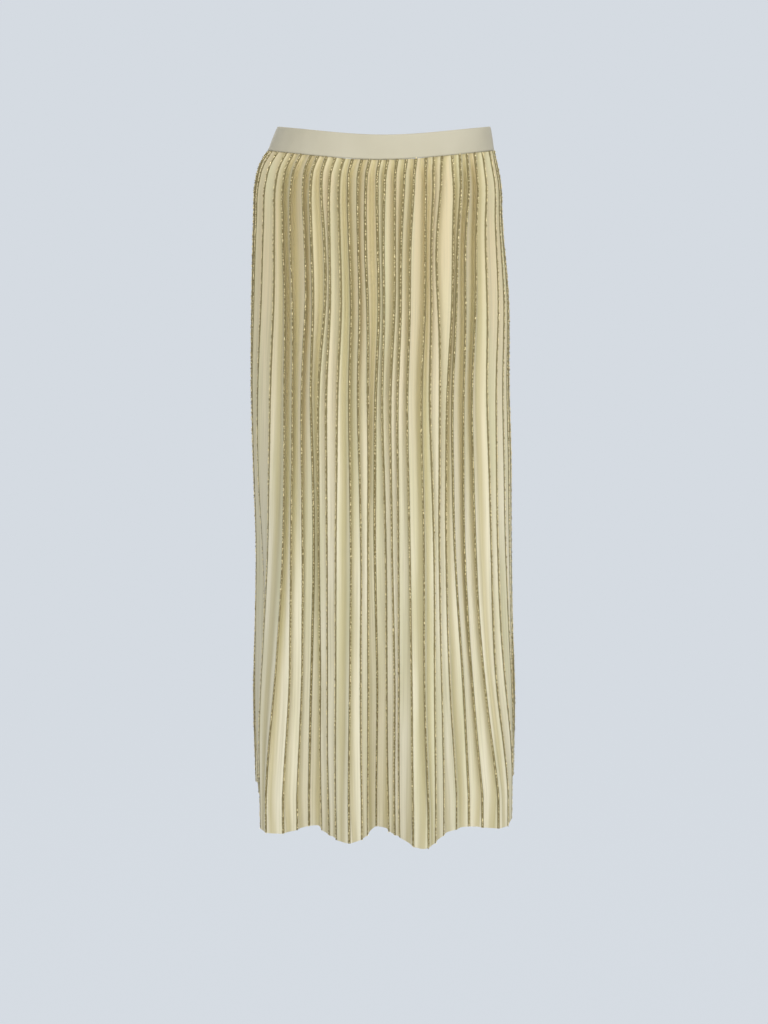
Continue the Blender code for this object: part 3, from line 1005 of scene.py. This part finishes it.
# ---------------------------------------------------------------------------
# Studio: a round bowl of pale paper under and about the skirt, soft boxes at the
# front, at both sides and behind, and a camera at the waist's level that is
# tipped down.  Its lengths are in metres.

PAPER = (0.665, 0.708, 0.760)
PAPER_DIFFUSE = 0.02
PAPER_GLOW = 0.99
FLOOR_LEVEL = -2.4
BOWL_RADIUS = 7.0
BOWL_ROUND = 3.0
BOWL_TOP = 7.0
BOWL_STEPS = 96
BOWL_ROUND_STEPS = 24
AIR = (0.93, 0.96, 1.0)
AIR_GLOW = 0.42

bowl_profile = [(BOWL_RADIUS - BOWL_ROUND, FLOOR_LEVEL)]
for step in range(1, BOWL_ROUND_STEPS + 1):
    turn = math.pi / 2 * step / BOWL_ROUND_STEPS
    bowl_profile.append((BOWL_RADIUS - BOWL_ROUND + BOWL_ROUND * math.sin(turn),
                         FLOOR_LEVEL + BOWL_ROUND - BOWL_ROUND * math.cos(turn)))
bowl_profile.append((BOWL_RADIUS, BOWL_TOP))
bowl_points = []
for radius, level in bowl_profile:
    for step in range(BOWL_STEPS):
        turn = 2 * math.pi * step / BOWL_STEPS
        bowl_points.append((radius * math.cos(turn), radius * math.sin(turn), level))
bowl_faces = [tuple(range(BOWL_STEPS))]
for row in range(len(bowl_profile) - 1):
    for step in range(BOWL_STEPS):
        ahead = (step + 1) % BOWL_STEPS
        bowl_faces.append((row * BOWL_STEPS + ahead, row * BOWL_STEPS + step,
                           (row + 1) * BOWL_STEPS + step, (row + 1) * BOWL_STEPS + ahead))
bowl_mesh = bpy.data.meshes.new("paper_bowl")
bowl_mesh.from_pydata(bowl_points, [], bowl_faces)
bowl_mesh.shade_smooth()
paper_material = bpy.data.materials.new("pale_paper")
paper_material.use_nodes = True
paper_shader = paper_material.node_tree.nodes["Principled BSDF"]
paper_shader.inputs["Base Color"].default_value = (*(PAPER_DIFFUSE * value for value in PAPER), 1.0)
paper_shader.inputs["Roughness"].default_value = 1.0
paper_shader.inputs["Specular IOR Level"].default_value = 0.0
paper_shader.inputs["Emission Color"].default_value = (*PAPER, 1.0)
paper_shader.inputs["Emission Strength"].default_value = PAPER_GLOW
bowl_mesh.materials.append(paper_material)
bowl = bpy.data.objects.new("paper_bowl", bowl_mesh)
bowl.visible_diffuse = False
bowl.visible_glossy = False
bowl.visible_shadow = False
bpy.context.scene.collection.objects.link(bowl)

world = bpy.data.worlds.new("studio_air")
world.use_nodes = True
world.node_tree.nodes["Background"].inputs["Color"].default_value = (*AIR, 1.0)
world.node_tree.nodes["Background"].inputs["Strength"].default_value = AIR_GLOW
bpy.context.scene.world = world

# Every soft box is turned towards the middle of the skirt.
Softbox = namedtuple("Softbox", "name place width power")
SOFTBOX_HEIGHT = 2.2
SKIRT_MIDDLE = (0.0, 0.0, -0.45)
SOFTBOXES = (
    Softbox("front_softbox", (0.3, -3.3, 1.0), 1.6, 43.0),
    Softbox("right_softbox", (2.4, -2.3, 0.8), 1.4, 36.0),
    Softbox("left_softbox", (-1.5, -3.0, 0.8), 1.4, 33.0),
    Softbox("back_softbox", (-0.6, 3.3, 1.0), 1.6, 70.0),
)
for softbox in SOFTBOXES:
    lamp = bpy.data.lights.new(softbox.name, "AREA")
    lamp.shape = "RECTANGLE"
    lamp.size = softbox.width
    lamp.size_y = SOFTBOX_HEIGHT
    lamp.energy = softbox.power
    lamp_object = bpy.data.objects.new(softbox.name, lamp)
    aim = np.array(SKIRT_MIDDLE) - np.array(softbox.place)
    pan = math.atan2(-aim[0], aim[1])
    tip = math.atan2(math.hypot(aim[0], aim[1]), -aim[2])
    lamp_object.location = softbox.place
    lamp_object.rotation_euler = (tip, 0.0, pan)
    bpy.context.scene.collection.objects.link(lamp_object)

CAMERA_BACK = 2.150
CAMERA_LEVEL = 0.006
CAMERA_TIP = 13.153
CAMERA_LENS = 56.92
CAMERA_FILM = 36.0

camera_data = bpy.data.cameras.new("studio_camera")
camera_data.sensor_fit = "VERTICAL"
camera_data.sensor_height = CAMERA_FILM
camera_data.lens = CAMERA_LENS
camera = bpy.data.objects.new("studio_camera", camera_data)
camera.location = (0.0, -CAMERA_BACK, CAMERA_LEVEL)
camera.rotation_euler = (math.radians(90 - CAMERA_TIP), 0.0, 0.0)
bpy.context.scene.collection.objects.link(camera)
bpy.context.scene.camera = camera
bpy.context.scene.view_settings.view_transform = "Standard"
